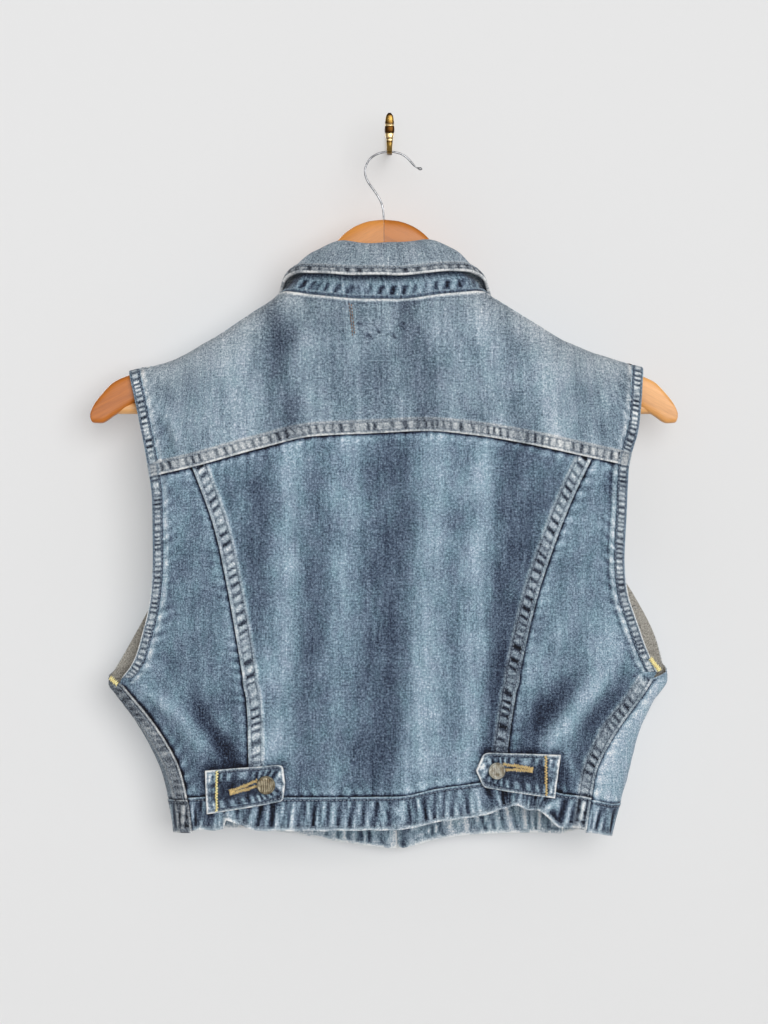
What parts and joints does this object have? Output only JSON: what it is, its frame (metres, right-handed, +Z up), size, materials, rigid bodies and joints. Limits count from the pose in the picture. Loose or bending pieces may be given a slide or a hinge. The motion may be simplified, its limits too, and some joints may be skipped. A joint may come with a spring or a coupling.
{
  "type": "denim gilet on a coat hanger",
  "caption": "Cropped sleeveless denim gilet with collar, yoke, princess seams and buttoned waist tabs, hung on a wooden coat hanger from a brass wall hook.",
  "frame": {"origin": "centre of the flat back face of the wall hook's plate, where it meets the wall", "axes": "+Y into the wall, so the gilet's back faces -Y; +Z up; +X towards the wearer's right"},
  "size_m": [0.4456, 0.0846, 0.5625],
  "materials": {
    "denim": "light-wash cotton denim, matt, worn white along its seams",
    "denim_pale": "paler light-wash cotton denim, matt",
    "button_metal": "aged brass with turned rings",
    "hanger_wood": "clear satin varnish",
    "hanger_wood_deep": "clear satin varnish",
    "bar_wood": "clear satin varnish",
    "hook_wire": "bright plated wire",
    "hook_brass": "polished"
  },
  "bodies": {
    "root": {"back_yoke": "denim_pale", "back_centre": "denim", "back_side_left": "denim", "back_side_right": "denim", "front_left": "denim", "front_right": "denim", "placket": "denim", "waistband_back": "denim", "waistband_front_left": "denim", "waistband_front_right": "denim", "armhole_back_left": "denim", "armhole_back_right": "denim", "armhole_front_left": "denim", "armhole_front_right": "denim", "collar_stand": "denim_pale", "collar_fall": "denim_pale", "tab_left": "denim", "tab_right": "denim", "tab_button_left": "button_metal", "tab_button_right": "button_metal", "front_button_1": "button_metal", "front_button_2": "button_metal", "front_button_3": "button_metal", "front_button_4": "button_metal", "front_button_5": "button_metal", "hanger_arm_left": "hanger_wood", "hanger_arm_right": "hanger_wood_deep", "hanger_bar": "bar_wood", "hanger_hook": "hook_wire", "wall_hook": "hook_brass"}
  },
  "joints": []
}
